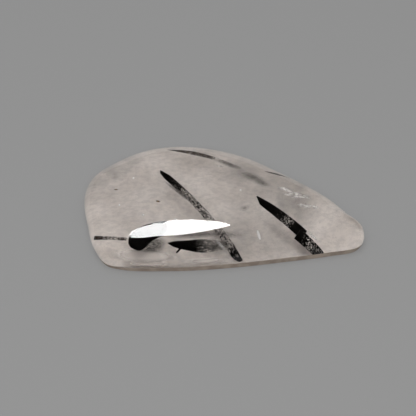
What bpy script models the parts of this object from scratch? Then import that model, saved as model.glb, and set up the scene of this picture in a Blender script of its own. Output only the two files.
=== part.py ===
"""A free-form cabochon of clear quartz with dark tourmaline crystals grown through it.

The stone is a low dome on a flat back, in plan a leaning drop with a blunt left end and a
narrow right end. Each tourmaline is a solid of its own in a channel of the quartz, and is cut
and polished level with the stone wherever it reaches the surface.

Metres, +Z up. The origin lies on the flat back, under the middle of the stone's box.
"""

import math

import bmesh
import bpy
from mathutils import Matrix, Vector

# The stone in plan, counter-clockwise from its front left corner
OUTLINE = (
    (-0.0190, -0.0138),
    (-0.0091, -0.0146),
    (0.0012, -0.0138),
    (0.0114, -0.0122),
    (0.0188, -0.0108),
    (0.0232, -0.0094),
    (0.0241, -0.0058),
    (0.0223, -0.0034),
    (0.0187, 0.0010),
    (0.0118, 0.0066),
    (0.0032, 0.0122),
    (-0.0063, 0.0146),
    (-0.0139, 0.0136),
    (-0.0202, 0.0096),
    (-0.0233, 0.0062),
    (-0.0242, 0.0018),
    (-0.0233, -0.0044),
    (-0.0219, -0.0100),
)
OUTLINE_STEPS = 5

# The stone's height: a steep ground rim under the girdle, and the dome above it
GIRDLE_HEIGHT = 0.0012
DOME_RISE = 0.0063
BASE_INSET = 0.0003
CROWN = (-0.0048, -0.0002)
DOME_POWERS = (2.3, 2.2)
DOME_RINGS = 20
SMALLEST_RING = 0.07

# The dome's rings ease from the outline into this oval as they climb
OVAL_RADII = (0.0200, 0.0130)
OVAL_TURN = math.radians(-12)
EASING = 0.8

# A tourmaline's section is a rounded triangle, and its channel stands clear of it all round
SECTION_SIDES = 9
SECTION_BULGE = 0.12
PATH_STATIONS = 9
CHANNEL_CLEARANCE = 0.0003

# The crystals that are needles or blades: each path runs from its first point past its middle
# handle to its last point, and a size is the width and the thickness at the start and the end
LONG_NEEDLE_PATH = ((-0.0113, 0.00355, 0.0075), (-0.0041, -0.0036, 0.00335), (0.0028, -0.0107, -0.0003))
LONG_NEEDLE_SIZE = ((0.00120, 0.00100), (0.00120, 0.00085))
BLADE_PATH = ((0.0057, -0.0038, 0.0071), (0.0096, -0.0060, 0.0048), (0.0136, -0.0083, 0.0024))
BLADE_SIZE = ((0.00120, 0.00070), (0.00160, 0.00070))
BLADE_FOOT_PATH = ((0.0125, -0.0083, 0.0028), (0.0147, -0.0092, 0.0013), (0.0167, -0.0089, -0.0004))
BLADE_FOOT_SIZE = ((0.00180, 0.00080), (0.00120, 0.00080))
BLADE_FACING = (0.0, -0.5, 0.87)
SIDE_NEEDLE_PATH = ((-0.0218, -0.0089, 0.0026), (-0.0189, -0.0103, 0.0036), (-0.0162, -0.0114, 0.0046))
SIDE_NEEDLE_SIZE = ((0.00075, 0.00060), (0.00060, 0.00050))

# Two crystals that swell in the middle, with their widths at even steps along the path
BACK_NEEDLE_PATH = ((-0.0097, 0.0106, 0.0056), (-0.0037, 0.0092, 0.0052), (0.0017, 0.0063, 0.0043))
BACK_NEEDLE_WIDTHS = (0.0002, 0.0006, 0.0009, 0.0011, 0.0011, 0.0010, 0.0008, 0.0006, 0.0003)
BACK_NEEDLE_THICKNESS = 0.0007
RIM_SLIVER_PATH = ((0.0074, 0.0046, 0.0060), (0.0095, 0.0045, 0.0051), (0.0116, 0.0043, 0.0042))
RIM_SLIVER_WIDTHS = (0.0002, 0.0006, 0.0007, 0.0004, 0.0002)
RIM_SLIVER_THICKNESS = 0.0004

# The wedge lies along the front slope, its faces level with the polish, and a splinter leaves it
WEDGE_PATH = ((-0.0093, -0.0122, 0.0044), (-0.0048, -0.0124, 0.0036), (0.0004, -0.0114, 0.0033))
WEDGE_WIDTHS = (0.0002, 0.0010, 0.0013, 0.0015, 0.0018, 0.0020, 0.0018, 0.0015, 0.0008)
WEDGE_THICKNESS = 0.0006
WEDGE_FACING = (0.0, -0.66, 0.75)
SPLINTER_PATH = ((-0.0071, -0.0125, 0.0037), (-0.0076, -0.0130, 0.0033), (-0.0080, -0.0134, 0.0030))
SPLINTER_SIZE = ((0.00035, 0.00035), (0.00022, 0.00022))

# The stub is a fat crystal cut across by the dome: a half moon in plan, as wide as the cut down
# to its waist and smaller at its foot. A ring is its height, its scale and its share of the shift
STUB_OUTLINE = (
    (-0.0148, -0.0134),
    (-0.0138, -0.0135),
    (-0.0128, -0.0127),
    (-0.0119, -0.0116),
    (-0.0093, -0.0091),
    (-0.0113, -0.0090),
    (-0.0134, -0.0095),
    (-0.0150, -0.0104),
    (-0.0159, -0.0115),
    (-0.0156, -0.0127),
)
STUB_RINGS = ((0.0030, 0.45, 1.0), (0.0040, 1.0, 0.0), (0.0075, 1.0, 0.0))
STUB_FOOT_SHIFT = (0.0006, 0.0016)

QUARTZ_COLOUR = (0.62, 0.55, 0.50, 1.0)
TOURMALINE_COLOUR = (0.008, 0.007, 0.007, 1.0)


def clear_scene():
    for obj in list(bpy.data.objects):
        bpy.data.objects.remove(obj)


def make_collection(name, hidden=False):
    collection = bpy.data.collections.new(name)
    bpy.context.scene.collection.children.link(collection)
    collection.hide_render = hidden
    return collection


def make_material(name, colour, roughness, transmission=0.0):
    material = bpy.data.materials.new(name)
    material.use_nodes = True
    shader = material.node_tree.nodes["Principled BSDF"]
    shader.inputs["Base Color"].default_value = colour
    shader.inputs["Roughness"].default_value = roughness
    shader.inputs["Metallic"].default_value = 0.0
    shader.inputs["IOR"].default_value = 1.544
    shader.inputs["Transmission Weight"].default_value = transmission
    return material


def smooth_outline():
    """The outline as a closed smooth curve, OUTLINE_STEPS points to each of its spans."""
    corners = [Vector(corner) for corner in OUTLINE]
    count = len(corners)
    curve = []
    for i in range(count):
        before, start = corners[i - 1], corners[i]
        end, after = corners[(i + 1) % count], corners[(i + 2) % count]
        reach = (end - start).length / 3
        leave = start + (end - before).normalized() * reach
        arrive = end - (after - start).normalized() * reach
        for step in range(OUTLINE_STEPS):
            u = step / OUTLINE_STEPS
            v = 1 - u
            curve.append(v**3 * start + 3 * v * v * u * leave + 3 * v * u * u * arrive + u**3 * end)
    return curve


def stone_ring(curve, size, easing, height):
    """The outline shrunk to a share of its size about the crown, and eased into the oval."""
    crown = Vector(CROWN)
    blend = easing * (1 - size)
    ring = []
    for point in curve:
        spoke = point - crown
        angle = math.atan2(spoke.y, spoke.x) - OVAL_TURN
        oval = 1 / math.hypot(math.cos(angle) / OVAL_RADII[0], math.sin(angle) / OVAL_RADII[1])
        reach = size * ((1 - blend) * spoke.length + blend * oval)
        place = crown + spoke.normalized() * reach
        ring.append(Vector((place.x, place.y, height)))
    return ring


def dome_height(size):
    power, root = DOME_POWERS
    return GIRDLE_HEIGHT + DOME_RISE * (1 - size**power) ** (1 / root)


def loft(rings, peak=None):
    """A closed mesh through rings of equal count, with a flat end or a single point at the top."""
    mesh = bmesh.new()
    loops = [[mesh.verts.new(point) for point in ring] for ring in rings]
    count = len(loops[0])
    for lower, upper in zip(loops, loops[1:]):
        for i in range(count):
            mesh.faces.new((lower[i], lower[(i + 1) % count], upper[(i + 1) % count], upper[i]))
    mesh.faces.new(loops[0])
    if peak is None:
        mesh.faces.new(loops[-1])
    else:
        tip = mesh.verts.new(peak)
        for i in range(count):
            mesh.faces.new((loops[-1][i], loops[-1][(i + 1) % count], tip))
    bmesh.ops.recalc_face_normals(mesh, faces=mesh.faces)
    return mesh


def make_object(name, mesh, collection, material=None):
    data = bpy.data.meshes.new(name)
    mesh.to_mesh(data)
    mesh.free()
    obj = bpy.data.objects.new(name, data)
    collection.objects.link(obj)
    if material is None:
        obj.hide_render = True
        obj.display_type = "WIRE"
    else:
        data.materials.append(material)
    return obj


def stone_mesh():
    curve = smooth_outline()
    base_size = 1 - BASE_INSET / OVAL_RADII[0]
    rings = [stone_ring(curve, base_size, 0.0, 0.0)]
    for step in range(DOME_RINGS):
        size = max(math.cos(math.pi / 2 * step / (DOME_RINGS - 1)), SMALLEST_RING)
        rings.append(stone_ring(curve, size, EASING, dome_height(size)))
    return loft(rings, peak=(*CROWN, GIRDLE_HEIGHT + DOME_RISE))


def path_point(path, u):
    start, handle, end = (Vector(point) for point in path)
    return (1 - u) ** 2 * start + 2 * u * (1 - u) * handle + u * u * end


def path_direction(path, u):
    start, handle, end = (Vector(point) for point in path)
    return ((1 - u) * (handle - start) + u * (end - handle)).normalized()


def section_ring(centre, along, facing, width, thickness):
    """A rounded triangle across the path, its width level and its thickness along facing."""
    side = facing.cross(along).normalized()
    rise = along.cross(side)
    ring = []
    for i in range(SECTION_SIDES):
        angle = 2 * math.pi * i / SECTION_SIDES
        swell = 1 + SECTION_BULGE * math.cos(3 * angle + math.pi / 2)
        across = width / 2 * swell * math.cos(angle)
        above = thickness / 2 * swell * math.sin(angle)
        ring.append(centre + side * across + rise * above)
    return ring


def crystal_mesh(path, sizes, facing=(0, 0, 1), clearance=0.0):
    """A crystal along its path; with a clearance, the channel that holds it."""
    rings = []
    for i, (width, thickness) in enumerate(sizes):
        u = i / (len(sizes) - 1)
        along = path_direction(path, u)
        centre = path_point(path, u)
        if i == 0:
            centre -= along * clearance
        if i == len(sizes) - 1:
            centre += along * clearance
        spread = 2 * clearance
        rings.append(section_ring(centre, along, Vector(facing), width + spread, thickness + spread))
    return loft(rings)


def even_sizes(size):
    """Widths and thicknesses at every station of a crystal that tapers evenly."""
    (width, thickness), (end_width, end_thickness) = size
    sizes = []
    for i in range(PATH_STATIONS):
        u = i / (PATH_STATIONS - 1)
        sizes.append((width + u * (end_width - width), thickness + u * (end_thickness - thickness)))
    return sizes


def stub_mesh(clearance=0.0):
    middle = sum((Vector(corner) for corner in STUB_OUTLINE), Vector((0, 0))) / len(STUB_OUTLINE)
    rings = []
    for i, (height, scale, share) in enumerate(STUB_RINGS):
        shift = Vector(STUB_FOOT_SHIFT) * share
        lowered = height - clearance if i == 0 else height
        ring = []
        for corner in STUB_OUTLINE:
            spoke = (Vector(corner) - middle) * scale
            place = middle + shift + spoke + spoke.normalized() * clearance
            ring.append(Vector((place.x, place.y, lowered)))
        rings.append(ring)
    return loft(rings)


def boolean(obj, other, operation):
    modifier = obj.modifiers.new(f"{operation.lower()} {other.name}", "BOOLEAN")
    modifier.solver = "EXACT"
    modifier.operation = operation
    modifier.object = other


def swelling_sizes(widths, thickness):
    return [(width, thickness) for width in widths]


def crystal_shapes():
    """Each node's name with the shapes that make it, as functions of the clearance round them."""
    long_needle = even_sizes(LONG_NEEDLE_SIZE)
    blade = even_sizes(BLADE_SIZE)
    blade_foot = even_sizes(BLADE_FOOT_SIZE)
    side_needle = even_sizes(SIDE_NEEDLE_SIZE)
    wedge = swelling_sizes(WEDGE_WIDTHS, WEDGE_THICKNESS)
    splinter = even_sizes(SPLINTER_SIZE)
    back_needle = swelling_sizes(BACK_NEEDLE_WIDTHS, BACK_NEEDLE_THICKNESS)
    rim_sliver = swelling_sizes(RIM_SLIVER_WIDTHS, RIM_SLIVER_THICKNESS)
    return {
        "long_needle": [lambda gap: crystal_mesh(LONG_NEEDLE_PATH, long_needle, clearance=gap)],
        "stepped_blade": [
            lambda gap: crystal_mesh(BLADE_PATH, blade, BLADE_FACING, gap),
            lambda gap: crystal_mesh(BLADE_FOOT_PATH, blade_foot, BLADE_FACING, gap),
        ],
        "side_needle": [lambda gap: crystal_mesh(SIDE_NEEDLE_PATH, side_needle, clearance=gap)],
        "cut_stub": [stub_mesh],
        "dark_wedge": [
            lambda gap: crystal_mesh(WEDGE_PATH, wedge, WEDGE_FACING, gap),
            lambda gap: crystal_mesh(SPLINTER_PATH, splinter, WEDGE_FACING, gap),
        ],
        "back_needle": [lambda gap: crystal_mesh(BACK_NEEDLE_PATH, back_needle, clearance=gap)],
        "rim_sliver": [lambda gap: crystal_mesh(RIM_SLIVER_PATH, rim_sliver, clearance=gap)],
    }


def main():
    clear_scene()
    parts = make_collection("tourmalinated_quartz_cabochon")
    cutters = make_collection("cutters", hidden=True)
    quartz = make_object("quartz", stone_mesh(), parts, make_material("quartz", QUARTZ_COLOUR, 0.05, 0.8))
    blank = make_object("quartz_blank", stone_mesh(), cutters)
    tourmaline = make_material("tourmaline", TOURMALINE_COLOUR, 0.25)
    for name, shapes in crystal_shapes().items():
        crystal = make_object(name, shapes[0](0.0), parts, tourmaline)
        for i, shape in enumerate(shapes):
            channel = make_object(f"{name}_channel_{i + 1}", shape(CHANNEL_CLEARANCE), cutters)
            boolean(quartz, channel, "DIFFERENCE")
            if i > 0:
                boolean(crystal, make_object(f"{name}_limb_{i + 1}", shape(0.0), cutters), "UNION")
        boolean(crystal, blank, "INTERSECT")
    for obj in parts.objects:
        obj.data.shade_smooth()
        obj.data.set_sharp_from_angle(angle=math.radians(30))


main()
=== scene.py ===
# %% [markdown]
# # A quartz cabochon with tourmaline needles
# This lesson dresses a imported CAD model. The model gives the true sizes and places, and the
# cells below give each piece its fine shape and its finish: first the camera and the light,
# then the clear stone, then the dark crystals that grew through it.

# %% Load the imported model
import math
import random

import bmesh
import bpy
from mathutils import Matrix, Vector
from mathutils.bvhtree import BVHTree


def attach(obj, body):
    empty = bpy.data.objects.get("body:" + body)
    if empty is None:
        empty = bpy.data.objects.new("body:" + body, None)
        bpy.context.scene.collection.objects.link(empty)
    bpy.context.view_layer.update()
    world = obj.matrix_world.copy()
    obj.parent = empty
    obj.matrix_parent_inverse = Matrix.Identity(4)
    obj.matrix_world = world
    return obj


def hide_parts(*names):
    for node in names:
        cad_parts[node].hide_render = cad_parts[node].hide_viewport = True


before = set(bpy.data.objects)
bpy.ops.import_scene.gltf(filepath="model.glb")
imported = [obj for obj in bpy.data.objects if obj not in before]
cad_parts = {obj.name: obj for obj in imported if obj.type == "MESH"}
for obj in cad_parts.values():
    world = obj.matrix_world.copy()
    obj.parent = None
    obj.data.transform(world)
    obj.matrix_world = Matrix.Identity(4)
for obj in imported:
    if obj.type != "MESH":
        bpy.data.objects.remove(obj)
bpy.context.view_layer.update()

print("nodes:", sorted(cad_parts))

# %% [markdown]
# ## Camera
# The photograph looks down on the stone's long front side from about 42 degrees. A wide lens
# close by would swell the near edge. A long one from further off keeps the outline almost free
# of perspective, as in a product picture.

# %% Camera
CAMERA_AIM = Vector((-0.00258, -0.00125, 0.0025))
CAMERA_RISE = math.radians(42)
CAMERA_DISTANCE = 0.300
CAMERA_LENS = 150

scene = bpy.context.scene
view_line = Vector((0, math.cos(CAMERA_RISE), -math.sin(CAMERA_RISE)))
camera = bpy.data.objects.new("camera", bpy.data.cameras.new("camera"))
camera.data.lens = CAMERA_LENS
camera.data.clip_start = 0.01
camera.location = CAMERA_AIM - view_line * CAMERA_DISTANCE
camera.rotation_euler = view_line.to_track_quat("-Z", "Y").to_euler()
scene.collection.objects.link(camera)
scene.camera = camera
print("camera at", [round(value, 4) for value in camera.location])

# %% [markdown]
# ## Light
# The room is an even pale grey. A wide soft box hangs over the stone, and a fill stands in front
# and lightens the shadows that the crystals throw on the stone's back. One big lamp could make
# the highlight too, but its shape on a dome is hard to steer. So two more lamps, each at its own
# height, only mirror in the polish, and the highlight can be set alone. Where they overlap it is
# white, and where only one of them mirrors it is a little greyer.

# %% Light
SOFTBOX_HEIGHT = 0.300
KEY_SIZE = (0.30, 0.30)
KEY_POWER = 0.152
FILL_PLACE = Vector((-0.03, -0.20, 0.20))
FILL_SIZE = (0.20, 0.10)
FILL_POWER = 0.16
GLINT_RADIANCE = 15.5
GLINTS = (
    ("glint_lamp", (-0.0387, 0.0058, 0.290), (0.1292, 0.1052), math.radians(1)),
    ("glint_lamp_side", (0.0021, 0.0364, 0.288), (0.0840, 0.0350), math.radians(-49)),
)
ROOM_COLOUR = (0.44, 0.44, 0.44, 1)


def area_lamp(name, shape, place, size, turn, power):
    lamp = bpy.data.objects.new(name, bpy.data.lights.new(name, "AREA"))
    lamp.data.shape = shape
    lamp.data.size, lamp.data.size_y = size
    lamp.data.energy = power
    lamp.location = place
    lamp.rotation_euler = (0, 0, turn)
    scene.collection.objects.link(lamp)
    return lamp


key = area_lamp("key_lamp", "RECTANGLE", (0, 0, SOFTBOX_HEIGHT), KEY_SIZE, 0, KEY_POWER)
key.visible_glossy = False
fill = area_lamp("fill_lamp", "RECTANGLE", FILL_PLACE, FILL_SIZE, 0, FILL_POWER)
fill.rotation_euler = (-FILL_PLACE).to_track_quat("-Z", "Y").to_euler()
fill.visible_glossy = False
for name, place, size, turn in GLINTS:
    power = GLINT_RADIANCE * math.pi * size[0] * size[1]
    glint = area_lamp(name, "ELLIPSE", place, size, turn, power)
    glint.visible_diffuse = False
    glint.visible_transmission = False
    glint.visible_volume_scatter = False
room = bpy.data.worlds.new("room")
room.use_nodes = True
room.node_tree.nodes["Background"].inputs["Color"].default_value = ROOM_COLOUR
scene.world = room
room.cycles_visibility.glossy = False
scene.view_settings.view_transform = "Standard"

# %% [markdown]
# ## A short way to write shaders
# A material is a graph of nodes. Written out node by node it is long and hard to read, so a
# small class wraps a node's output and lets Python's own operators add the Math nodes. Any
# other node comes from one method, which sets its settings first and then feeds its sockets.


# %% Shader helpers
class Wire:
    """A node's output. Arithmetic on it adds Math nodes to the same material."""

    def __init__(self, recipe, socket):
        self.recipe = recipe
        self.socket = socket

    def math(self, operation, first, second=0.0):
        return self.recipe.node("ShaderNodeMath", {"operation": operation}, {0: first, 1: second})

    def __add__(self, other):
        return self.math("ADD", self, other)

    __radd__ = __add__

    def __sub__(self, other):
        return self.math("SUBTRACT", self, other)

    def __rsub__(self, other):
        return self.math("SUBTRACT", other, self)

    def __mul__(self, other):
        return self.math("MULTIPLY", self, other)

    __rmul__ = __mul__


class Recipe:
    """A new material, with one method that adds any node."""

    def __init__(self, name):
        self.material = bpy.data.materials.new(name)
        self.material.use_nodes = True
        self.tree = self.material.node_tree
        self.shader = self.tree.nodes["Principled BSDF"]

    def node(self, kind, settings=None, inputs=None, output=0):
        made = self.tree.nodes.new(kind)
        for name, value in (settings or {}).items():
            if name == "stops":
                for position, colour in value[2:]:
                    made.color_ramp.elements.new(position)
                for element, (position, colour) in zip(made.color_ramp.elements, value):
                    element.position = position
                    element.color = colour
            else:
                setattr(made, name, value)
        for name, value in (inputs or {}).items():
            self.feed(made.inputs[name], value)
        return Wire(self, made.outputs[output])

    def feed(self, socket, value):
        if isinstance(value, Wire):
            self.tree.links.new(value.socket, socket)
        else:
            socket.default_value = value

    def finish(self, **values):
        """Sets the shader's sockets; an underscore in a name stands for a space."""
        for name, value in values.items():
            self.feed(self.shader.inputs[name.replace("_", " ")], value)
        return self.material

    def place(self):
        return self.node("ShaderNodeTexCoord", output="Object")

    def noise(self, scale, detail=2.0, roughness=0.5, vector=None):
        vector = self.place() if vector is None else vector
        settings = {"noise_dimensions": "3D"}
        inputs = {"Vector": vector, "Scale": scale, "Detail": detail, "Roughness": roughness}
        return self.node("ShaderNodeTexNoise", settings, inputs)

    def ramp(self, value, low, high):
        """The value's way from low to high, as a smooth step from 0 to 1."""
        settings = {"interpolation_type": "SMOOTHSTEP"}
        inputs = {"Value": value, "From Min": low, "From Max": high}
        return self.node("ShaderNodeMapRange", settings, inputs)

    def mix(self, factor, first, second, blend="MIX"):
        settings = {"data_type": "RGBA", "blend_type": blend}
        return self.node("ShaderNodeMix", settings, {0: factor, 6: first, 7: second}, output=2)

    def stretched(self, scale):
        return self.node("ShaderNodeMapping", {}, {"Vector": self.place(), "Scale": scale})

    def attribute(self, name):
        return self.node("ShaderNodeAttribute", {"attribute_name": name}, output=2)

    def bump(self, height, strength, distance):
        inputs = {"Height": height, "Strength": strength, "Distance": distance}
        return self.node("ShaderNodeBump", {}, inputs)


def grey(value):
    return (value, value, value, 1)


print("shader helpers are ready")

# %% [markdown]
# ## The floor
# The stone lies on a plain sheet that is lit a little from below, as on a light table, which
# washes out the shadow round the stone. It is scenery and not part of the object, so it is
# marked as stage. It lies a hair under the stone's flat back, because two faces in one plane
# would flicker into each other.

# %% Floor
FLOOR_SIZE = 3.0
FLOOR_DROP = 0.00008
FLOOR_COLOUR = grey(0.177)
FLOOR_GLOW = 0.150

sheet = bmesh.new()
bmesh.ops.create_grid(sheet, x_segments=1, y_segments=1, size=FLOOR_SIZE / 2)
bmesh.ops.translate(sheet, verts=sheet.verts, vec=(0, 0, -FLOOR_DROP))
floor_mesh = bpy.data.meshes.new("floor")
sheet.to_mesh(floor_mesh)
sheet.free()
floor = bpy.data.objects.new("floor", floor_mesh)
scene.collection.objects.link(floor)
floor_finish = Recipe("plain_floor").finish(
    Base_Color=FLOOR_COLOUR, Roughness=0.9, Emission_Color=grey(1), Emission_Strength=FLOOR_GLOW
)
floor.data.materials.append(floor_finish)
print("floor:", FLOOR_SIZE, "m wide")

# %% [markdown]
# ## The stone's form
# In plan the stone is a leaning drop: a blunt left end, a straight front, a long sloping back
# and a narrow right end. A smooth closed curve runs through a few corners. Copies of that
# curve, each smaller and higher than the one before, climb to the crown, and ease from the
# leaning drop into a plain oval on the way. That keeps the dome free of creases, which a drop
# that is only shrunk would have along its spine.

# %% The outline in plan
OUTLINE = (
    (-0.0190, -0.0138), (-0.0091, -0.0146), (0.0012, -0.0138), (0.0114, -0.0122),
    (0.0188, -0.0108), (0.0232, -0.0094), (0.0241, -0.0058), (0.0223, -0.0034),
    (0.0187, 0.0010), (0.0118, 0.0066), (0.0032, 0.0122), (-0.0063, 0.0146),
    (-0.0139, 0.0136), (-0.0202, 0.0096), (-0.0233, 0.0062), (-0.0242, 0.0018),
    (-0.0233, -0.0044), (-0.0219, -0.0100),
)
OUTLINE_STEPS = 12


def smooth_loop(points, steps):
    """A closed curve through the points, with the given number of steps from each to the next."""
    corners = [Vector(corner) for corner in points]
    curve = []
    for i, start in enumerate(corners):
        before, end = corners[i - 1], corners[(i + 1) % len(corners)]
        after = corners[(i + 2) % len(corners)]
        reach = (end - start).length / 3
        leave = start + (end - before).normalized() * reach
        arrive = end - (after - start).normalized() * reach
        for step in range(steps):
            u = step / steps
            v = 1 - u
            curve.append(v**3 * start + 3 * v * v * u * leave + 3 * v * u * u * arrive + u**3 * end)
    return curve


outline = smooth_loop(OUTLINE, OUTLINE_STEPS)
print("outline:", len(outline), "points")

# %% Rings of the dome
GIRDLE_HEIGHT = 0.0012
DOME_RISE = 0.0063
BASE_INSET = 0.0003
CROWN = Vector((-0.0048, -0.0002))
DOME_POWERS = (2.3, 2.2)
DOME_RINGS = 56
SMALLEST_RING = 0.02
OVAL_RADII = (0.0200, 0.0130)
OVAL_TURN = math.radians(-12)
EASING = 0.8
BEVEL_RINGS = 6
BEVEL_POWER = 1.5


def stone_ring(size, easing, height):
    blend = easing * (1 - size)
    ring = []
    for point in outline:
        spoke = point - CROWN
        angle = math.atan2(spoke.y, spoke.x) - OVAL_TURN
        oval = 1 / math.hypot(math.cos(angle) / OVAL_RADII[0], math.sin(angle) / OVAL_RADII[1])
        place = CROWN + spoke.normalized() * size * ((1 - blend) * spoke.length + blend * oval)
        ring.append(Vector((place.x, place.y, height)))
    return ring


def stone_rings():
    """Rings from the flat back up the rounded bevel to the girdle, and over the dome."""
    rings = []
    for step in range(BEVEL_RINGS):
        share = step / BEVEL_RINGS
        inset = BASE_INSET * (1 - share) ** BEVEL_POWER
        rings.append(stone_ring(1 - inset / OVAL_RADII[0], 0.0, GIRDLE_HEIGHT * share))
    for step in range(DOME_RINGS):
        size = max(math.cos(math.pi / 2 * step / (DOME_RINGS - 1)), SMALLEST_RING)
        height = GIRDLE_HEIGHT + DOME_RISE * (1 - size ** DOME_POWERS[0]) ** (1 / DOME_POWERS[1])
        rings.append(stone_ring(size, EASING, height))
    return rings


print("stone:", len(stone_rings()), "rings")

# %% [markdown]
# ## Growing a form ring by ring
# Both the dome and the crystals are stacks of rings. The first ring is filled to a face, and
# that face is extruded again and again. Each extruded corner remembers its number in a custom
# layer, so it can be moved to its place in the next ring. A lathe would give round stones only,
# and this works for any outline.


# %% Ring by ring
def grow(rings):
    form = bmesh.new()
    number = form.verts.layers.int.new("number")
    corners = [form.verts.new(point) for point in rings[0]]
    for i, corner in enumerate(corners):
        corner[number] = i
    cap = bmesh.ops.contextual_create(form, geom=corners)["faces"][0]
    for step, ring in enumerate(rings[1:]):
        inside = cap
        made = bmesh.ops.extrude_face_region(form, geom=[cap])["geom"]
        cap = next(item for item in made if isinstance(item, bmesh.types.BMFace))
        for corner in cap.verts:
            corner.co = ring[corner[number]]
        if step > 0:
            form.faces.remove(inside)
    return form, cap


def make_piece(name, form, material, smooth_angle=math.radians(30)):
    bmesh.ops.recalc_face_normals(form, faces=form.faces)
    mesh = bpy.data.meshes.new(name)
    form.to_mesh(mesh)
    form.free()
    mesh.shade_smooth()
    mesh.set_sharp_from_angle(angle=smooth_angle)
    mesh.materials.append(material)
    piece = bpy.data.objects.new(name, mesh)
    scene.collection.objects.link(piece)
    print(name, "has", len(mesh.polygons), "faces")
    return piece


# %% [markdown]
# ## Clear quartz
# Quartz is a glass-clear mineral with an index of 1.544. The dome is polished, so it is a
# transmissive surface, with a faint ripple, some wear and a few fine scratches. The back of a
# cabochon is only ground, so it is a pale matt face, and that is what gives the stone its soft
# milky tone seen from above. Its cloudiness varies, so patches make the back a little lighter
# or darker: each is a place, a radius and a gain. The lighter patches under the crystals and at
# the low left edge are painted light, which fills in the shadows that the crystals throw on the
# back. A volume could hold the cloudiness too, but it renders slowly and a light model can't
# carry it. The low front rim is rough ground, and its brown is partly its own tone and partly a
# painted contact shadow.

# %% Quartz finishes
QUARTZ_INDEX = 1.544
POLISH_RIPPLE = 0.14
RIPPLE_HEIGHT = 0.0001
WEAR_ROUGHNESS = 0.15
SCRATCH_ROUGHNESS = 0.22
ALONG_THE_STONE = (0.25, 1.0, 1.0)
SCRATCH_STRETCH = (0.07, 1.0, 1.0)
WEAR_STRETCH = (0.2, 1.0, 1.0)
PATCH_RAGGEDNESS = 0.006
PATCH_CORE = 0.15
BACK_DARK = (0.62, 0.556, 0.508, 1)
BACK_PALE = (0.70, 0.636, 0.588, 1)
GRAIN_STRETCH = (0.6, 1.0, 1.0)
GRAIN_SHADE = (0.86, 0.86, 0.87, 1)
SPECK_SHADE = (0.80, 0.79, 0.78, 1)
# The rim's two browns are partly its own tone and partly painted shade of the contact shadow under the
# stone's edge.
RIM_PALE_AND_PAINTED_SHADOW = (0.47, 0.39, 0.325, 1)
RIM_DARK_AND_PAINTED_SHADOW = (0.36, 0.29, 0.24, 1)
# Patches on the back: the darker ones are cloudier quartz, and those with a gain over 1 are painted light in
# the shadows that the crystals throw on the back.
TONE_AND_PAINTED_LIGHT_PATCHES = (
    (-0.0202, 0.0060, 0.0030, 0.78),
    (-0.0198, 0.0032, 0.0046, 0.85),
    (-0.0180, 0.0080, 0.0028, 0.76),
    (-0.0155, 0.0098, 0.0026, 0.82),
    (-0.0140, 0.0045, 0.0070, 0.94),
    (-0.0050, 0.0095, 0.0090, 1.00),
    (0.0025, 0.0062, 0.0045, 0.70),
    (0.0084, 0.0028, 0.0045, 0.80),
    (0.0124, -0.0010, 0.0046, 0.64),
    (0.0128, 0.0030, 0.0026, 0.75),
    (0.0088, -0.0068, 0.0046, 0.86),
    (0.0016, -0.0076, 0.0062, 0.80),
    (0.0060, -0.0095, 0.0050, 0.94),
    (0.0045, -0.0028, 0.0080, 0.86),
    # Painted light: these lighten the back where the long needle, the stub and the wedge shade it, and at
    # the low left edge.
    (-0.0066, -0.0020, 0.0040, 1.08),
    (-0.0125, -0.0105, 0.0052, 1.32),
    (-0.0045, -0.0115, 0.0046, 1.30),
    (-0.0205, -0.0085, 0.0060, 1.22),
    (-0.0096, -0.0014, 0.0034, 1.12),
    (-0.0216, -0.0012, 0.0040, 1.12),
    (-0.0050, 0.0138, 0.0026, 1.20),
    (0.0035, 0.0115, 0.0026, 1.16),
)


def polished_quartz():
    recipe = Recipe("polished_quartz")
    ripple = recipe.noise(260, detail=3, vector=recipe.stretched(ALONG_THE_STONE))
    wear = recipe.noise(420, detail=4, vector=recipe.stretched(WEAR_STRETCH))
    wear = recipe.ramp(wear, 0.45, 0.75)
    scratch = recipe.noise(700, vector=recipe.stretched(SCRATCH_STRETCH))
    scratch = recipe.ramp(scratch, 0.64, 0.78)
    return recipe.finish(
        Base_Color=grey(1),
        Roughness=wear * WEAR_ROUGHNESS + scratch * SCRATCH_ROUGHNESS,
        IOR=QUARTZ_INDEX,
        Transmission_Weight=1.0,
        Normal=recipe.bump(ripple, POLISH_RIPPLE, RIPPLE_HEIGHT),
    )


def ground_back():
    recipe = Recipe("ground_back")
    cloud = recipe.ramp(recipe.noise(180, detail=4), 0.35, 0.65)
    tone = recipe.mix(cloud, BACK_DARK, BACK_PALE)
    edge = recipe.noise(240, detail=3) - 0.5
    # Each patch multiplies the tone, and where its gain is over 1 under a crystal it paints light into that
    # crystal's shadow.
    for x, y, radius, gain in TONE_AND_PAINTED_LIGHT_PATCHES:
        settings = {"operation": "DISTANCE"}
        inputs = {0: recipe.place(), 1: (x, y, 0)}
        away = recipe.node("ShaderNodeVectorMath", settings, inputs, output=1)
        inside = 1 - recipe.ramp(away + edge * PATCH_RAGGEDNESS, PATCH_CORE * radius, radius)
        tone = recipe.mix(inside, tone, grey(gain), "MULTIPLY")
    grain = recipe.noise(1500, detail=4, roughness=0.65, vector=recipe.stretched(GRAIN_STRETCH))
    tone = recipe.mix(recipe.ramp(grain, 0.40, 0.62), tone, GRAIN_SHADE, "MULTIPLY")
    speck = recipe.noise(3600, detail=3, roughness=0.7)
    tone = recipe.mix(recipe.ramp(speck, 0.56, 0.70), tone, SPECK_SHADE, "MULTIPLY")
    return recipe.finish(Base_Color=tone, Roughness=0.7)


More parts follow.
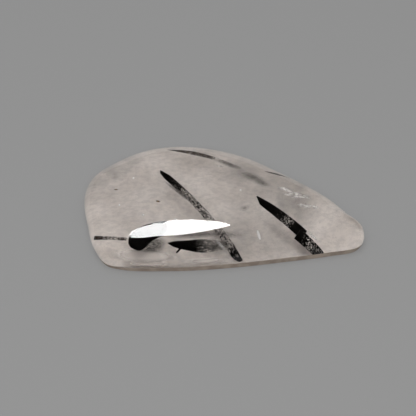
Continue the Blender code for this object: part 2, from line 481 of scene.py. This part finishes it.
# The rim finish: a mottled brown that is partly the rim's own tone and partly a painted contact shadow.
def rim_with_painted_shadow():
    recipe = Recipe("rim_with_painted_shadow")
    rim_mottle = recipe.ramp(recipe.noise(420, detail=3), 0.4, 0.6)
    tone = recipe.mix(rim_mottle, RIM_PALE_AND_PAINTED_SHADOW, RIM_DARK_AND_PAINTED_SHADOW)
    return recipe.finish(Base_Color=tone, Roughness=0.8)


print("quartz finishes: polished dome, ground back with", len(TONE_AND_PAINTED_LIGHT_PATCHES), "patches, ground rim")

# %% [markdown]
# ## The stone
# One closed form carries the three finishes. A tilted plane cuts a line into it, low in the
# front and out of the stone towards the back. Below that line the faces are the brown rim, whose
# brown is partly the rim's own tone and partly a painted contact shadow, and what looks straight
# down is the back. Crystals stay a skin's thickness inside the polish, so no two surfaces lie in
# one place.

# %% The stone
SKIN = 0.00006
DOWNWARD = -0.9
RIM_PLANE_POINT = Vector((0, 0, -0.00074))
RIM_PLANE_NORMAL = Vector((-0.0215, 0.133, 1.0)).normalized()

form, cap = grow(stone_rings())
crown = bmesh.ops.poke(form, faces=[cap])["verts"][0]
crown.co.z = GIRDLE_HEIGHT + DOME_RISE
geometry = form.verts[:] + form.edges[:] + form.faces[:]
bmesh.ops.bisect_plane(form, geom=geometry, plane_co=RIM_PLANE_POINT, plane_no=RIM_PLANE_NORMAL)
form.normal_update()
polish = BVHTree.FromBMesh(form)
stone = make_piece("polished_stone", form, polished_quartz())
stone.data.materials.append(ground_back())
stone.data.materials.append(rim_with_painted_shadow())
for face in stone.data.polygons:
    if face.normal.z < DOWNWARD:
        face.material_index = 1
    # Faces below the tilted plane take the rim finish with its painted contact shadow.
    elif (face.center - RIM_PLANE_POINT).dot(RIM_PLANE_NORMAL) < 0:
        face.material_index = 2
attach(stone, "root")
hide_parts("quartz")

# %% [markdown]
# ## Tourmaline
# Black tourmaline grows as long prisms whose section is a rounded triangle with fine grooves
# along it. It is opaque, and inside quartz its skin hardly mirrors, because the two minerals
# bend light almost alike. Where a crystal broke while it grew, quartz filled the gaps, and it
# shows as black flecks with pale ones between. The finish takes how broken a crystal is from
# the place along it, and a fine noise decides which flecks are there.

# %% Tourmaline finish
TOURMALINE_BLACK = (0.004, 0.0035, 0.003, 1)
FLECK_GREY = (0.36, 0.33, 0.31, 1)
FLECK_SCALE = 3900
FROST_SCALE = 3120
FLECK_LOSS = 0.50
FLECK_LEVEL = 0.12


def tourmaline(name, path, broken, body=TOURMALINE_BLACK, pale=FLECK_GREY, softness=0.12, stretch=(1, 1, 1)):
    """The stops of broken go along the crystal: 0 is whole, and 1 is as good as gone."""
    recipe = Recipe(name)
    start, end = Vector(path[0]), Vector(path[2])
    axis = (end - start) / (end - start).length_squared
    settings = {"operation": "DOT_PRODUCT"}
    along = recipe.node("ShaderNodeVectorMath", settings, {0: recipe.place(), 1: axis}, output=1)
    stops = [(position, grey(value)) for position, value in broken]
    gone = recipe.node("ShaderNodeValToRGB", {"stops": stops}, {0: along - start.dot(axis)}) * 1.0
    flecks = recipe.noise(FLECK_SCALE, detail=2, roughness=0.6, vector=recipe.stretched(stretch))
    low, high = FLECK_LEVEL - softness / 2, FLECK_LEVEL + softness / 2
    whole = recipe.ramp(flecks - gone * FLECK_LOSS, low, high)
    frost = recipe.noise(FROST_SCALE, detail=1, vector=recipe.stretched(stretch))
    tone = recipe.mix(recipe.ramp(frost, 0.56, 0.63) * recipe.ramp(gone, 0.25, 0.7), body, pale)
    return recipe.finish(Base_Color=tone, Roughness=0.5, IOR=1.05, Alpha=whole)


print("tourmaline is ready")

# %% [markdown]
# ## The crystals' forms
# A crystal follows a path of three points: its start, a handle that may bend it, and its end.
# A section is set at every station on the way, as wide and as thick as the crystal is there.
# The section is a circle with a three-fold swell and a groove at each corner. The grooves keep
# their depth from station to station, so they run along the crystal as the real ones do.

# %% Crystal forms
SECTION_SIDES = 24
SECTION_BULGE = 0.12
GROOVE_DEPTH = 0.05
STATION_SPACING = 0.00015


def path_point(path, u):
    start, handle, end = (Vector(point) for point in path)
    return (1 - u) ** 2 * start + 2 * u * (1 - u) * handle + u * u * end


def path_direction(path, u):
    start, handle, end = (Vector(point) for point in path)
    return ((1 - u) * (handle - start) + u * (end - handle)).normalized()


def stepped(*values):
    """A size that passes evenly through the given values."""

    def size(u):
        place = u * (len(values) - 1)
        i = min(int(place), len(values) - 2)
        return values[i] + (place - i) * (values[i + 1] - values[i])

    return size


def crystal_form(path, width, thickness, facing=(0, 0, 1), seed=0, roundness=1.0):
    """A grooved prism along its path. A roundness under 1 squares its section."""
    draw = random.Random(seed)
    grooves = [draw.uniform(-GROOVE_DEPTH, GROOVE_DEPTH) for _ in range(SECTION_SIDES)]
    length = (Vector(path[2]) - Vector(path[0])).length
    stations = max(int(length / STATION_SPACING), 8)
    rings = []
    for step in range(stations + 1):
        u = step / stations
        along = path_direction(path, u)
        side = Vector(facing).cross(along).normalized()
        rise = along.cross(side)
        ring = []
        for i, groove in enumerate(grooves):
            angle = 2 * math.pi * i / SECTION_SIDES
            swell = 1 + SECTION_BULGE * math.cos(3 * angle + math.pi / 2) + groove
            cosine, sine = math.cos(angle), math.sin(angle)
            reach = swell / 2
            across = side * (width(u) * reach * math.copysign(abs(cosine) ** roundness, cosine))
            above = rise * (thickness(u) * reach * math.copysign(abs(sine) ** roundness, sine))
            ring.append(path_point(path, u) + across + above)
        rings.append(ring)
    return grow(rings)[0]


print("a section has", SECTION_SIDES, "corners, and a station every", STATION_SPACING, "m")

# %% [markdown]
# ## Ends of the crystals
# A crystal that reached the surface was ground and polished with the stone, so its end is level
# with it. A ray along the crystal finds where its axis comes out of the dome, and a cut in that
# face's own plane makes the end. A boolean with the dome would do it too, but it is slower and
# leaves slivers where two surfaces nearly meet.

# %% Cutting crystals level with the stone
OUTSIDE = 0.004
ABOVE_THE_STONE = 0.02


def cut_off(form, point, normal):
    """Cuts away what lies in front of a plane, and closes the cut."""
    geometry = form.verts[:] + form.edges[:] + form.faces[:]
    bmesh.ops.bisect_plane(form, geom=geometry, plane_co=point, plane_no=normal, clear_outer=True)
    bmesh.ops.holes_fill(form, edges=form.edges)


def cut_at_polish(form, path):
    """Cuts a crystal's first end level with the dome, where its axis comes out."""
    along = path_direction(path, 0)
    hit, normal = polish.ray_cast(Vector(path[0]) - along * OUTSIDE, along)[:2]
    cut_off(form, hit - normal * SKIN, normal)


def keep_inside(form):
    """Grinds a crystal level with the flat back, and pulls in what still stands proud of the dome."""
    if min(corner.co.z for corner in form.verts) < SKIN:
        cut_off(form, Vector((0, 0, SKIN)), Vector((0, 0, -1)))
    for corner in form.verts:
        hit = polish.ray_cast((corner.co.x, corner.co.y, ABOVE_THE_STONE), (0, 0, -1))[0]
        if hit is not None:
            corner.co.z = min(corner.co.z, hit.z - SKIN)


def place_crystal(name, form, node, finish):
    keep_inside(form)
    piece = make_piece(name, form, finish)
    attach(piece, "root")
    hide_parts(node)


# %% [markdown]
# ## The long needle
# A straight prism from the top of the dome down to the flat back. It looks bent only because
# the dome bends the light, so it isn't modelled bent. It is whole at its top and at its foot,
# and broken in between. A second, upright cut takes off the sharp edge that the dome leaves.

# %% The long needle
LONG_NEEDLE_PATH = ((-0.0113, 0.00355, 0.0075), (-0.0041, -0.0036, 0.00335), (0.0028, -0.0107, -0.0003))
LONG_NEEDLE_WIDTHS = stepped(0.0002, 0.0006, 0.0011, *[0.00115] * 7, *[0.0012] * 8)
LONG_NEEDLE_BROKEN = (
    (0.0, 0.10), (0.12, 0.25), (0.26, 0.55), (0.33, 0.76), (0.60, 0.80), (0.70, 0.88), (0.88, 0.88),
    (0.91, 0.50), (1.0, 0.40),
)
LONG_NEEDLE_TIP = (-0.01085, 0.00280, 0.0072)
LONG_NEEDLE_CUT = Vector((-1.0, 0.0, 0.0))
long_needle = crystal_form(
    LONG_NEEDLE_PATH, LONG_NEEDLE_WIDTHS, stepped(0.00100, 0.00085), seed=1, roundness=0.75
)
cut_at_polish(long_needle, LONG_NEEDLE_PATH)
cut_off(long_needle, Vector(LONG_NEEDLE_TIP), LONG_NEEDLE_CUT)
long_needle_finish = tourmaline(
    "long_needle_tourmaline", LONG_NEEDLE_PATH, LONG_NEEDLE_BROKEN, softness=0.05
)
place_crystal("long_needle_crystal", long_needle, "long_needle", long_needle_finish)

# %% [markdown]
# ## The stepped blade
# A flat crystal that snapped and slipped before the quartz healed it, which left a step. It is
# two prisms, because one prism can't jump sideways. Its upper end is level with the dome, and
# a slanting cut gives it a knife's tip.

# %% The stepped blade
BLADE_PATH = ((0.0055, -0.0036, 0.0069), (0.0096, -0.0060, 0.0048), (0.0136, -0.0083, 0.0024))
BLADE_FOOT_PATH = ((0.0125, -0.0083, 0.0028), (0.0147, -0.0092, 0.0013), (0.0167, -0.0089, -0.0004))
BLADE_FACING = (0.0, -0.5, 0.87)
BLADE_BROKEN = ((0.0, 0.05), (0.54, 0.35), (0.60, 0.72), (0.72, 0.70), (0.78, 0.2), (1.0, 0.35))
BLADE_FOOT_BROKEN = ((0.0, 0.10), (0.25, 0.45), (0.40, 0.74), (0.60, 0.70), (0.74, 0.50), (1.0, 0.55))
BLADE_TIP = (0.00598, -0.00440, 0.00690)
BLADE_CUT = Vector((-0.948, -0.275, -0.160))
BLADE_WIDTHS = stepped(0.0010, 0.0014, 0.0016, 0.0016, 0.0016)
blade = crystal_form(BLADE_PATH, BLADE_WIDTHS, stepped(0.0006, 0.0006), BLADE_FACING, seed=2, roundness=0.5)
foot = crystal_form(
    BLADE_FOOT_PATH, stepped(0.0018, 0.0012), stepped(0.0007, 0.0007), BLADE_FACING, seed=3, roundness=0.5
)
cut_at_polish(blade, BLADE_PATH)
cut_off(blade, Vector(BLADE_TIP), BLADE_CUT)
blade_finish = tourmaline("blade_tourmaline", BLADE_PATH, BLADE_BROKEN)
foot_finish = tourmaline("blade_foot_tourmaline", BLADE_FOOT_PATH, BLADE_FOOT_BROKEN)
place_crystal("blade_crystal", blade, "stepped_blade", blade_finish)
place_crystal("blade_foot_crystal", foot, "stepped_blade", foot_finish)

# %% [markdown]
# ## The small needles
# One short needle at the left edge, a thin spindle along the back edge, and a fine sliver in
# the rim. Thin tourmaline lets a little brown light through, so their black is a warm one.

# %% The small needles
SMOKY_BROWN = (0.045, 0.034, 0.025, 1)
SIDE_NEEDLE_PATH = ((-0.0218, -0.0089, 0.0026), (-0.0189, -0.0103, 0.0036), (-0.0162, -0.0114, 0.0046))
SIDE_NEEDLE_BROKEN = ((0.0, 0.2), (0.18, 0.45), (0.3, 0.74), (0.75, 0.78), (0.85, 0.60), (1.0, 0.86))
side_needle = crystal_form(SIDE_NEEDLE_PATH, stepped(0.00075, 0.0006), stepped(0.0006, 0.0005), seed=4)
side_finish = tourmaline("side_needle_tourmaline", SIDE_NEEDLE_PATH, SIDE_NEEDLE_BROKEN, SMOKY_BROWN)
place_crystal("side_needle_crystal", side_needle, "side_needle", side_finish)

BACK_NEEDLE_PATH = ((-0.0097, 0.0106, 0.0056), (-0.0037, 0.0092, 0.0052), (0.0017, 0.0063, 0.0043))
BACK_NEEDLE_BROKEN = (
    (0.0, 0.2), (0.30, 0.70), (0.55, 0.66), (0.64, 0.6), (0.72, 0.98), (0.82, 0.85), (1.0, 1.0),
)
BACK_NEEDLE_WIDTHS = stepped(0.0001, 0.0006, 0.0010, 0.0012, 0.0011, 0.0009, 0.0008, 0.0006, 0.0003)
back_needle = crystal_form(BACK_NEEDLE_PATH, BACK_NEEDLE_WIDTHS, stepped(0.0007, 0.0007), seed=5)
back_finish = tourmaline("back_needle_tourmaline", BACK_NEEDLE_PATH, BACK_NEEDLE_BROKEN, SMOKY_BROWN)
place_crystal("back_needle_crystal", back_needle, "back_needle", back_finish)

RIM_SLIVER_PATH = ((0.0074, 0.0046, 0.0060), (0.0095, 0.0045, 0.0051), (0.0116, 0.0043, 0.0042))
RIM_SLIVER_WIDTHS = stepped(0.0001, 0.0006, 0.0007, 0.0004, 0.0001)
rim_sliver = crystal_form(RIM_SLIVER_PATH, RIM_SLIVER_WIDTHS, stepped(0.0004, 0.0004), seed=6)
rim_finish = tourmaline("rim_sliver_tourmaline", RIM_SLIVER_PATH, ((0.0, 0.2), (1.0, 0.2)), SMOKY_BROWN)
place_crystal("rim_sliver_crystal", rim_sliver, "rim_sliver", rim_finish)

# %% [markdown]
# ## The wedge and its splinter
# A flat crystal just under the polish, whole at its pointed left end and frayed at the right.
# Its flecks are drawn out along it and have soft edges, so it frays into threads and smoke.
# A splinter that broke off its lower edge is a small prism of its own.

# %% The wedge and its splinter
WEDGE_PATH = ((-0.0093, -0.0122, 0.0044), (-0.0048, -0.0124, 0.0036), (0.0004, -0.0114, 0.0033))
WEDGE_WIDTHS = stepped(
    0.0001, 0.00085, 0.0012, 0.0014, 0.0016, 0.0019, 0.0020, 0.0019, 0.0017, 0.0014, 0.0007
)
WEDGE_FACING = (0.0, -0.66, 0.75)
WEDGE_BROKEN = ((0.0, 0.0), (0.38, 0.10), (0.50, 0.50), (0.66, 0.86), (0.84, 1.08), (1.0, 1.35))
WEDGE_STREAKS = (0.35, 1.0, 1.0)
WEDGE_GREY = (0.045, 0.047, 0.046, 1)
SPLINTER_PATH = ((-0.0071, -0.0125, 0.0037), (-0.0076, -0.0130, 0.0033), (-0.0079, -0.0132, 0.0032))
wedge = crystal_form(WEDGE_PATH, WEDGE_WIDTHS, stepped(0.0005, 0.0005), WEDGE_FACING, seed=7, roundness=0.7)
SPLINTER_SIZE = stepped(0.00035, 0.00022)
splinter = crystal_form(SPLINTER_PATH, SPLINTER_SIZE, SPLINTER_SIZE, WEDGE_FACING, seed=8)
wedge_finish = tourmaline(
    "wedge_tourmaline", WEDGE_PATH, WEDGE_BROKEN, pale=WEDGE_GREY, softness=0.45, stretch=WEDGE_STREAKS
)
splinter_finish = tourmaline("splinter_tourmaline", SPLINTER_PATH, ((0.0, 0.0), (1.0, 0.2)))
place_crystal("wedge_crystal", wedge, "dark_wedge", wedge_finish)
place_crystal("splinter_crystal", splinter, "dark_wedge", splinter_finish)

# %% [markdown]
# ## The cut stub
# A fat crystal that stood across the stone, so the dome cuts it like a post and shows its
# section, a broad oval with a drawn-out right end. No prism along a path has that outline. So
# the stub grows from rings of its own outline: small at the foot, wide at the waist, and up
# past the dome. A fine grid on its top then settles on the underside of the polish.

# %% The cut stub
STUB_CUTS = 4
STUB_OUTLINE = (
    (-0.0149, -0.0132), (-0.0139, -0.0134), (-0.0130, -0.0128), (-0.0123, -0.0117), (-0.0094, -0.0091),
    (-0.0113, -0.0090), (-0.0134, -0.0095), (-0.0150, -0.0104), (-0.0159, -0.0115),
    (-0.0156, -0.0127),
)
STUB_RINGS = ((0.0032, 0.45, 1.0), (0.0040, 1.0, 0.0), (0.0075, 1.0, 0.0))
STUB_FOOT_SHIFT = Vector((0.0006, 0.0016))
STUB_ROUNDING = 6


def stub_form():
    """Each ring is the outline at a height, with its scale and its share of the foot's shift."""
    corners = smooth_loop(STUB_OUTLINE, STUB_ROUNDING)
    middle = sum(corners, Vector((0, 0))) / len(corners)
    rings = []
    for height, scale, share in STUB_RINGS:
        places = [middle + STUB_FOOT_SHIFT * share + (corner - middle) * scale for corner in corners]
        rings.append([Vector((place.x, place.y, height)) for place in places])
    form, top = grow(rings)
    bmesh.ops.poke(form, faces=[top])
    bmesh.ops.subdivide_edges(form, edges=form.edges, cuts=STUB_CUTS, use_grid_fill=True)
    return form


STUB_PATH = ((-0.0158, -0.0120, 0.0040), (-0.0130, -0.0110, 0.0040), (-0.0096, -0.0090, 0.0040))
stub_finish = tourmaline("stub_tourmaline", STUB_PATH, ((0.0, 0.0), (1.0, 0.15)))
place_crystal("stub_crystal", stub_form(), "cut_stub", stub_finish)

# %% [markdown]
# ## What hangs in the quartz
# Healed cracks, fine dust, stains and tiny bubbles drift through the clear body. A volume with a
# varying density could hold them, but it is slow and noisy. So each is a thin lens inside the
# stone, turned towards the viewer. Its finish fades out from the middle to the edge and is
# broken up by a noise, so the lens itself has no outline.

# %% Lenses
LENS_THICKNESS = 0.00004
LENS_GRID = (24, 10)
LENS_CORE = 0.7
VIEWER_SIDE = Vector((0.0, -0.55, 0.83))


def add_lens(form, start, end, width, density=1.0):
    """A ball squashed flat, whose corners remember how dense the lens is there."""
    along = (Vector(end) - Vector(start)) / 2
    middle = (Vector(end) + Vector(start)) / 2
    side = VIEWER_SIDE.cross(along).normalized()
    rise = along.cross(side).normalized()
    around, down = LENS_GRID
    made = bmesh.ops.create_uvsphere(form, u_segments=around, v_segments=down, radius=1.0)["verts"]
    fade = form.verts.layers.float["fade"]
    for corner in made:
        corner[fade] = density * (1 - math.hypot(corner.co.x, corner.co.y))
    shape = Matrix((along, side * width / 2, rise * LENS_THICKNESS / 2)).transposed().to_4x4()
    bmesh.ops.transform(form, matrix=Matrix.Translation(middle) @ shape, verts=made)


def wisp(name, tone, grain, low, high, strength, stretch=(1, 1, 1), even=0.0):
    """Fades out towards the lens's edge. A noise breaks up all but the share that is even."""
    recipe = Recipe(name)
    soft = recipe.ramp(recipe.attribute("fade"), 0.0, LENS_CORE)
    noise = recipe.noise(grain, detail=3, roughness=0.6, vector=recipe.stretched(stretch))
    alpha = soft * (recipe.ramp(noise, low, high) * (1 - even) + even) * strength
    return recipe.finish(Base_Color=tone, Roughness=0.9, IOR=1.05, Alpha=alpha)


def place_in_quartz(name, form, finish):
    piece = make_piece(name, form, finish)
    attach(piece, "root")
    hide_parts("quartz")


def place_lenses(name, lenses, finish):
    form = bmesh.new()
    form.verts.layers.float.new("fade")
    for lens in lenses:
        add_lens(form, *lens)
    place_in_quartz(name, form, finish)


print("a lens is", LENS_THICKNESS, "m thick")

# %% [markdown]
# ## White veils
# A crack that healed leaves a sheet of minute pores, and it shows as a white, torn veil. Each
# lens here is its start, its end, its width and its density. The two fine cracks are hardly
# broken up by the noise, because they show as one clean stroke each.

# %% White veils of healed cracks
WHITE_VEILS = (
    ((0.0090, 0.0004, 0.0058), (0.0124, -0.0012, 0.0055), 0.0012, 1.2),
    ((0.0100, -0.0014, 0.0058), (0.0154, -0.0018, 0.0048), 0.0018, 1.2),
    ((0.0118, -0.0040, 0.0058), (0.0168, -0.0043, 0.0048), 0.0012, 1.1),
    ((-0.0012, 0.0048, 0.0066), (0.0004, 0.0048, 0.0065), 0.0004, 1.5),
    ((0.0142, -0.0086, 0.0038), (0.0160, -0.0100, 0.0026), 0.0006, 0.8),
)
FINE_CRACKS = (
    ((0.0057, -0.0096, 0.0051), (0.0062, -0.0113, 0.0041), 0.0005, 3.0),
    ((-0.0018, -0.0108, 0.0047), (0.0009, -0.0129, 0.0026), 0.0008, 0.3),
)
STREAKED = (0.5, 1.0, 1.0)
VEIL_TONE = (0.90, 0.87, 0.84, 1)
CRACK_TONE = (0.95, 0.93, 0.91, 1)
white_veil = wisp("white_veil", VEIL_TONE, 2600, 0.40, 0.66, 0.9, STREAKED)
fine_crack = wisp("fine_crack", CRACK_TONE, 2600, 0.40, 0.66, 0.9, even=0.9)
place_lenses("white_veils", WHITE_VEILS, white_veil)
place_lenses("fine_cracks", FINE_CRACKS, fine_crack)

# %% [markdown]
# ## Milky haze
# Low in the front the body is milky, and that keeps the shadows under the crystals light. The
# haze has no grain of its own, so the noise has no share in it.

# %% Milky haze
MILKY_HAZE = (
    ((-0.0192, -0.0124, 0.0022), (-0.0072, -0.0132, 0.0022), 0.0026, 1.0),
    ((-0.0168, -0.0131, 0.0013), (-0.0086, -0.0137, 0.0013), 0.0014, 1.0),
    ((-0.0084, -0.0131, 0.0014), (0.0022, -0.0129, 0.0014), 0.0014, 0.55),
)
HAZE_TONE = (0.84, 0.77, 0.72, 1)
milky_haze = wisp("milky_haze", HAZE_TONE, 900, 0.3, 0.7, 0.7, even=1.0)
place_lenses("milky_haze", MILKY_HAZE, milky_haze)

# %% [markdown]
# ## Grey dust
# Crumbs of tourmaline float off the crystals, too fine to see one by one. They make soft grey
# smudges beside the stub, the wedge and the needles, and a cloud near the back edge.

# %% Grey dust
GREY_DUST = (
    ((-0.0146, -0.0121, 0.0033), (-0.0094, -0.0113, 0.0037), 0.0030, 1.1),
    ((-0.0050, -0.0120, 0.0033), (0.0024, -0.0112, 0.0031), 0.0030, 0.7),
    ((-0.0120, -0.0108, 0.0048), (0.0010, -0.0100, 0.0044), 0.0018, 0.85),
    ((-0.0030, -0.0100, 0.0042), (0.0045, -0.0096, 0.0036), 0.0016, 0.4),
    ((0.0016, 0.0044, 0.0056), (0.0086, 0.0008, 0.0050), 0.0028, 0.6),
    ((0.0052, 0.0020, 0.0052), (0.0084, 0.0004, 0.0050), 0.0016, 0.5),
    ((-0.0020, 0.0076, 0.0053), (0.0040, 0.0045, 0.0051), 0.0016, 0.7),
    ((-0.0104, 0.0010, 0.0068), (-0.0046, -0.0048, 0.0056), 0.0010, 0.9),
    ((0.0026, -0.0060, 0.0057), (0.0046, -0.0048, 0.0059), 0.0012, 0.5),
)
DUST_TONE = (0.10, 0.09, 0.083, 1)
grey_dust = wisp("grey_dust", DUST_TONE, 4200, 0.34, 0.70, 0.68, STREAKED, even=0.6)
place_lenses("grey_dust", GREY_DUST, grey_dust)

# %% [markdown]
# ## Stains and bubbles
# Two brown specks of iron, and a few bubbles, painted pure white so that they show as sparkles: a painted
# glint.

# %% Stains and bubbles
STAINS = (
    ((-0.0115, -0.0038, 0.0060), (-0.0106, -0.0042, 0.0061), 0.0004),
    ((-0.0187, 0.0004, 0.0049), (-0.0179, 0.0001, 0.0050), 0.0003),
)
STAIN_BROWN = (0.16, 0.09, 0.035, 1)
brown_stain = wisp("brown_stain", STAIN_BROWN, 1500, 0.1, 0.4, 0.95)
place_lenses("brown_stains", STAINS, brown_stain)

BUBBLE_RADIUS = 0.00016
BUBBLES = (
    (-0.0154, 0.0023, 0.0058), (-0.0176, -0.0038, 0.0051), (-0.0135, -0.0068, 0.0056),
    (0.0030, -0.0015, 0.0064), (-0.0081, -0.0079, 0.0057),
)
bubbles = bmesh.new()
for place in BUBBLES:
    spot = Matrix.Translation(place)
    bmesh.ops.create_icosphere(bubbles, subdivisions=2, radius=BUBBLE_RADIUS, matrix=spot)
# Painted glint: the beads are pure white so that they read as sparkles of light.
painted_sparkle_white = Recipe("painted_sparkle_white").finish(Base_Color=grey(1), Roughness=0.4)
place_in_quartz("bubbles", bubbles, painted_sparkle_white)
